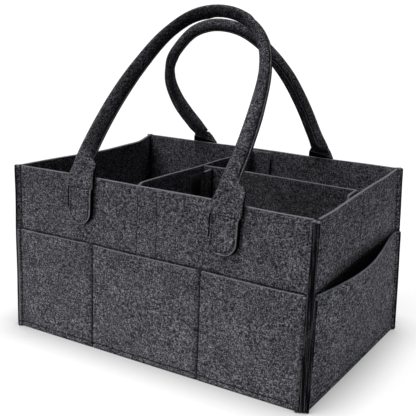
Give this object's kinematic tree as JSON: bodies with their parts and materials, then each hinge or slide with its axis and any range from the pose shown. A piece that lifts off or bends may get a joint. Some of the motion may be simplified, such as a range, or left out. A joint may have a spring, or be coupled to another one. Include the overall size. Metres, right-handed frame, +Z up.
{
  "type": "felt storage caddy",
  "caption": "Open-topped box tote of thick felt with outside pockets, arched carry handles and lift-out dividers held by hook tape.",
  "frame": {"origin": "on the ground under the middle of the box", "axes": "+X along the long side, to the right as seen from the front; -Y is the front; +Z up"},
  "size_m": [0.3774, 0.2564, 0.3515],
  "materials": {
    "felt_front": "matte needled felt",
    "felt_side": "matte needled felt",
    "felt_inside": "matte needled felt",
    "felt_handle": "matte needled felt",
    "tape": "matte woven hook and loop tape",
    "rope": "undyed twisted cotton"
  },
  "bodies": {
    "shell": {"bottom_panel": "felt_inside", "front_panel": "felt_front", "back_panel": "felt_front", "left_panel": "felt_side", "right_panel": "felt_side", "front_pocket_panel": "felt_front", "back_pocket_panel": "felt_front", "left_pocket_panel": "felt_side", "right_pocket_panel": "felt_side", "front_left_tab": "felt_handle", "front_right_tab": "felt_handle", "back_left_tab": "felt_handle", "back_right_tab": "felt_handle", "front_loop_tape": "tape", "back_loop_tape": "tape", "right_loop_tape": "tape"},
    "front_handle": {"front_handle_cover": "felt_handle", "front_handle_core": "rope"},
    "back_handle": {"back_handle_cover": "felt_handle", "back_handle_core": "rope"},
    "cross_divider_body": {"cross_divider": "felt_inside", "cross_divider_loop_tape": "tape", "cross_divider_front_hook_tape": "tape", "cross_divider_back_hook_tape": "tape"},
    "long_divider_body": {"long_divider": "felt_inside", "long_divider_right_hook_tape": "tape", "long_divider_flap_hook_tape": "tape"}
  },
  "joints": [
    {"name": "front_handle_swing", "type": "hinge", "parent": "shell", "child": "front_handle", "pos_m": [0, -0.1214, 0.188], "axis": [1, 0, 0], "range_deg": [0, 170]},
    {"name": "back_handle_swing", "type": "hinge", "parent": "shell", "child": "back_handle", "pos_m": [0, 0.1214, 0.188], "axis": [-1, 0, 0], "range_deg": [0, 170]},
    {"name": "cross_divider_lift", "type": "slide", "parent": "shell", "child": "cross_divider_body", "axis": [0, 0, 1], "range_m": [0, 0.13]},
    {"name": "long_divider_lift", "type": "slide", "parent": "shell", "child": "long_divider_body", "axis": [0, 0, 1], "range_m": [0, 0.13]}
  ]
}
